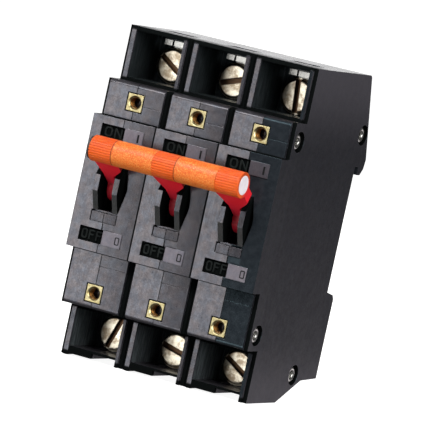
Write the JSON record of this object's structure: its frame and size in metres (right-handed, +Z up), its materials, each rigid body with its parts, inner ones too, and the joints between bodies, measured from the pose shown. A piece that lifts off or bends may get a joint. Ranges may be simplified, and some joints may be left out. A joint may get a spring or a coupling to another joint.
{
  "type": "circuit breaker switch",
  "caption": "Three-pole rail-mounted circuit breaker switch with a shared orange tie bar across its toggle handles and open screw terminals at both ends.",
  "frame": {"origin": "on the rail seat plane, middle pole, midway between the two rail hooks' edges", "axes": "+X to the right across the poles, -Y out of the front towards the user, +Z up towards the line terminals"},
  "size_m": [0.057, 0.0669, 0.0908],
  "materials": {
    "case_plastic": "satin moulded thermoset",
    "handle_plastic": "satin",
    "rod_plastic": "satin",
    "ring_plastic": "matte",
    "latch_plastic": "satin",
    "bobbin_plastic": "matte",
    "fibre": "vulcanised fibre",
    "brass": "machined",
    "copper": "rolled copper",
    "winding": "enamelled copper wire",
    "silver": "silver alloy",
    "nickel": "nickel plated",
    "plated_steel": "zinc plated",
    "spring_steel": "drawn wire"
  },
  "bodies": {
    "case": {"case_left_of_left_pole": "case_plastic", "case_right_of_left_pole": "case_plastic", "line_strap_of_left_pole": "copper", "load_strap_of_left_pole": "copper", "coil_of_left_pole": "winding", "yoke_of_left_pole": "plated_steel", "latch_spring_of_left_pole": "spring_steel", "case_left_of_centre_pole": "case_plastic", "case_right_of_centre_pole": "case_plastic", "line_strap_of_centre_pole": "copper", "load_strap_of_centre_pole": "copper", "coil_of_centre_pole": "winding", "yoke_of_centre_pole": "plated_steel", "latch_spring_of_centre_pole": "spring_steel", "case_left_of_right_pole": "case_plastic", "case_right_of_right_pole": "case_plastic", "line_strap_of_right_pole": "copper", "load_strap_of_right_pole": "copper", "coil_of_right_pole": "winding", "yoke_of_right_pole": "plated_steel", "latch_spring_of_right_pole": "spring_steel", "fixed_contacts": "silver", "bobbins": "bobbin_plastic", "dashpot_tubes": "brass", "pole_pieces": "plated_steel", "arc_plates": "plated_steel", "arc_chute_sides": "fibre", "handle_pins": "plated_steel", "arm_pins": "plated_steel", "handle_springs": "spring_steel", "arm_springs": "spring_steel", "braids": "copper", "terminal_screws": "nickel", "clamp_plates": "nickel", "thread_inserts": "brass", "case_rivets": "nickel"},
    "handle_bar": {"handle_of_left_pole": "handle_plastic", "handle_of_centre_pole": "handle_plastic", "handle_of_right_pole": "handle_plastic", "tie_sleeve_1": "handle_plastic", "tie_sleeve_2": "handle_plastic", "tie_rod": "rod_plastic", "rod_retaining_ring": "ring_plastic"},
    "link_left": {"toggle_link_of_left_pole": "spring_steel"},
    "arm_left": {"contact_arm_of_left_pole": "copper", "moving_contact_of_left_pole": "silver"},
    "armature_left": {"armature_of_left_pole": "plated_steel"},
    "latch_left": {"rail_latch_of_left_pole": "latch_plastic"},
    "link_centre": {"toggle_link_of_centre_pole": "spring_steel"},
    "arm_centre": {"contact_arm_of_centre_pole": "copper", "moving_contact_of_centre_pole": "silver"},
    "armature_centre": {"armature_of_centre_pole": "plated_steel"},
    "latch_centre": {"rail_latch_of_centre_pole": "latch_plastic"},
    "link_right": {"toggle_link_of_right_pole": "spring_steel"},
    "arm_right": {"contact_arm_of_right_pole": "copper", "moving_contact_of_right_pole": "silver"},
    "armature_right": {"armature_of_right_pole": "plated_steel"},
    "latch_right": {"rail_latch_of_right_pole": "latch_plastic"},
    "trip_bar": {"trip_bar": "bobbin_plastic"}
  },
  "joints": [
    {"name": "handle_hinge", "type": "hinge", "parent": "case", "child": "handle_bar", "pos_m": [0, -0.0419, 0.001], "axis": [1, 0, 0], "range_deg": [0, 65.21]},
    {"name": "link_left_hinge", "type": "hinge", "parent": "handle_bar", "child": "link_left", "pos_m": [-0.01905, -0.03937, -0.00062], "axis": [1, 0, 0], "range_deg": [-65.31, 0.1]},
    {"name": "link_centre_hinge", "type": "hinge", "parent": "handle_bar", "child": "link_centre", "pos_m": [0, -0.03937, -0.00062], "axis": [1, 0, 0], "range_deg": [-65.31, 0.1]},
    {"name": "link_right_hinge", "type": "hinge", "parent": "handle_bar", "child": "link_right", "pos_m": [0.01905, -0.03937, -0.00062], "axis": [1, 0, 0], "range_deg": [-65.31, 0.1]},
    {"name": "arm_left_hinge", "type": "hinge", "parent": "case", "child": "arm_left", "pos_m": [-0.01905, -0.0249, -0.007], "axis": [1, 0, 0], "range_deg": [-16.05, 0.02]},
    {"name": "arm_centre_hinge", "type": "hinge", "parent": "case", "child": "arm_centre", "pos_m": [0, -0.0249, -0.007], "axis": [1, 0, 0], "range_deg": [-16.05, 0.02]},
    {"name": "arm_right_hinge", "type": "hinge", "parent": "case", "child": "arm_right", "pos_m": [0.01905, -0.0249, -0.007], "axis": [1, 0, 0], "range_deg": [-16.05, 0.02]},
    {"name": "armature_left_hinge", "type": "hinge", "parent": "case", "child": "armature_left", "pos_m": [-0.01905, -0.0033, -0.0015], "axis": [1, 0, 0], "range_deg": [0, 8]},
    {"name": "armature_centre_hinge", "type": "hinge", "parent": "case", "child": "armature_centre", "pos_m": [0, -0.0033, -0.0015], "axis": [1, 0, 0], "range_deg": [0, 8]},
    {"name": "armature_right_hinge", "type": "hinge", "parent": "case", "child": "armature_right", "pos_m": [0.01905, -0.0033, -0.0015], "axis": [1, 0, 0], "range_deg": [0, 8]},
    {"name": "trip_bar_hinge", "type": "hinge", "parent": "case", "child": "trip_bar", "pos_m": [0, -0.0183, -0.0036], "axis": [1, 0, 0], "range_deg": [-10.05, 0.02]},
    {"name": "latch_left_slide", "type": "slide", "parent": "case", "child": "latch_left", "axis": [0, 0, -1], "range_m": [0, 0.0025], "deforming": ["latch_spring_of_left_pole"]},
    {"name": "latch_centre_slide", "type": "slide", "parent": "case", "child": "latch_centre", "axis": [0, 0, -1], "range_m": [0, 0.0025], "deforming": ["latch_spring_of_centre_pole"]},
    {"name": "latch_right_slide", "type": "slide", "parent": "case", "child": "latch_right", "axis": [0, 0, -1], "range_m": [0, 0.0025], "deforming": ["latch_spring_of_right_pole"]}
  ],
  "couplings": [
    {"joint": "link_left_hinge", "follows": "handle_hinge", "ratio": -1},
    {"joint": "link_centre_hinge", "follows": "handle_hinge", "ratio": -1},
    {"joint": "link_right_hinge", "follows": "handle_hinge", "ratio": -1},
    {"joint": "arm_left_hinge", "follows": "handle_hinge", "ratio": -0.24536},
    {"joint": "arm_centre_hinge", "follows": "handle_hinge", "ratio": -0.24536},
    {"joint": "arm_right_hinge", "follows": "handle_hinge", "ratio": -0.24536},
    {"joint": "trip_bar_hinge", "follows": "armature_centre_hinge", "ratio": -1.25}
  ]
}
